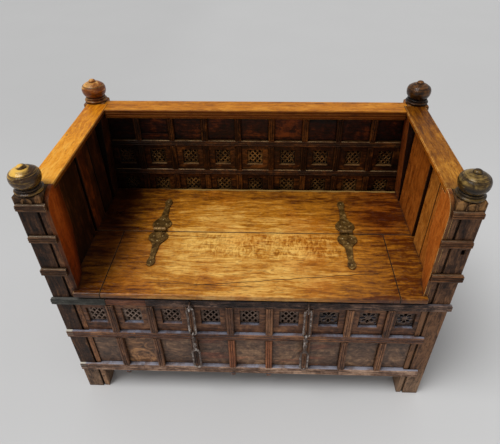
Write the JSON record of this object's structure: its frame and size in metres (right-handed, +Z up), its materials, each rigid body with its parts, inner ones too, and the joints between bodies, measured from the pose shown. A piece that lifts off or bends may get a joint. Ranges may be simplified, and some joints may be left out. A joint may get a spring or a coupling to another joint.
{
  "type": "settle bench",
  "caption": "Carved wooden settle bench with panelled back and arms, turned post finials, a hinged seat lid over a storage chest, iron strap hinges and hanging hasp links.",
  "frame": {"origin": "on the floor, under the middle of the whole bench", "axes": "+X to the bench's left as it faces you, which is the picture's right, +Y from the front to the back, +Z up"},
  "size_m": [1.112, 0.613, 0.853],
  "materials": {
    "dark_carved_hardwood": "worn dark polish with dusty ledges",
    "seat_hardwood": "glossy worn golden polish with strong grain",
    "rail_hardwood": "glossy orange brown polish, worn at the edges",
    "arm_hardwood": "satin red brown",
    "orange_hardwood": "worn satin",
    "red_brown_wood": "worn satin",
    "grey_weathered_wood": "dusty, matt",
    "plain_boards": "matt, unpolished",
    "iron": "forged iron with a dark brown patina"
  },
  "bodies": {
    "bench": {"arm_front_stile_left": "arm_hardwood", "arm_front_stile_right": "arm_hardwood", "arm_inner_boards_left": "arm_hardwood", "arm_inner_boards_right": "arm_hardwood", "arm_rail_left": "rail_hardwood", "arm_rail_right": "rail_hardwood", "arm_rear_stile_left": "arm_hardwood", "arm_rear_stile_right": "arm_hardwood", "back_lattice_panels": "dark_carved_hardwood", "back_plain_panels": "dark_carved_hardwood", "back_rails": "dark_carved_hardwood", "back_stiles": "dark_carved_hardwood", "back_top_rail": "rail_hardwood", "back_window_frames": "dark_carved_hardwood", "base_bearers": "plain_boards", "chest_floor_boards": "plain_boards", "finial_front_left": "dark_carved_hardwood", "finial_front_right": "dark_carved_hardwood", "finial_rear_left": "orange_hardwood", "finial_rear_right": "dark_carved_hardwood", "front_base_rail": "dark_carved_hardwood", "front_lattice_diamond": "dark_carved_hardwood", "front_lattice_flower": "dark_carved_hardwood", "front_lower_panels": "dark_carved_hardwood", "front_lower_stiles": "dark_carved_hardwood", "front_lower_stiles_pale": "orange_hardwood", "front_mid_rail": "dark_carved_hardwood", "front_post_left": "dark_carved_hardwood", "front_post_right": "dark_carved_hardwood", "front_seat_bearer": "plain_boards", "front_tenon_ends": "dark_carved_hardwood", "front_top_rail_left": "grey_weathered_wood", "front_top_rail_long": "dark_carved_hardwood", "front_top_rail_patch": "red_brown_wood", "front_upper_stiles": "dark_carved_hardwood", "front_window_frames": "dark_carved_hardwood", "hasp_staples": "iron", "hinge_pins": "iron", "hinge_rear_leaves": "iron", "nails_fixed": "iron", "post_bands_left": "dark_carved_hardwood", "post_bands_right": "dark_carved_hardwood", "rear_boards": "plain_boards", "rear_post_left": "dark_carved_hardwood", "rear_post_right": "dark_carved_hardwood", "seat_bearers": "plain_boards", "seat_rear_board": "seat_hardwood", "seat_side_board_left": "seat_hardwood", "seat_side_board_right": "seat_hardwood", "side_battens": "plain_boards", "side_boards_left": "plain_boards", "side_boards_right": "plain_boards"},
    "lid": {"seat_lid": "seat_hardwood", "hinge_front_leaves": "iron", "nails_lid": "iron"},
    "hasp_left_upper": {"hasp_upper_link_left": "iron"},
    "hasp_left_lower": {"hasp_lower_link_left": "iron"},
    "hasp_right_upper": {"hasp_upper_link_right": "iron"},
    "hasp_right_lower": {"hasp_lower_link_right": "iron"}
  },
  "joints": [
    {"name": "lid_hinge", "type": "hinge", "parent": "bench", "child": "lid", "pos_m": [0, -0.014, 0.4773], "axis": [-1, 0, 0], "range_deg": [0, 150]},
    {"name": "hasp_left_upper_swing", "type": "hinge", "parent": "bench", "child": "hasp_left_upper", "pos_m": [-0.164, -0.294, 0.4242], "axis": [-1, 0, 0], "range_deg": [0, 170]},
    {"name": "hasp_left_lower_swing", "type": "hinge", "parent": "hasp_left_upper", "child": "hasp_left_lower", "pos_m": [-0.164, -0.294, 0.3122], "axis": [-1, 0, 0], "range_deg": [0, 150]},
    {"name": "hasp_right_upper_swing", "type": "hinge", "parent": "bench", "child": "hasp_right_upper", "pos_m": [0.164, -0.294, 0.4242], "axis": [-1, 0, 0], "range_deg": [0, 170]},
    {"name": "hasp_right_lower_swing", "type": "hinge", "parent": "hasp_right_upper", "child": "hasp_right_lower", "pos_m": [0.164, -0.294, 0.3122], "axis": [-1, 0, 0], "range_deg": [0, 150]}
  ]
}
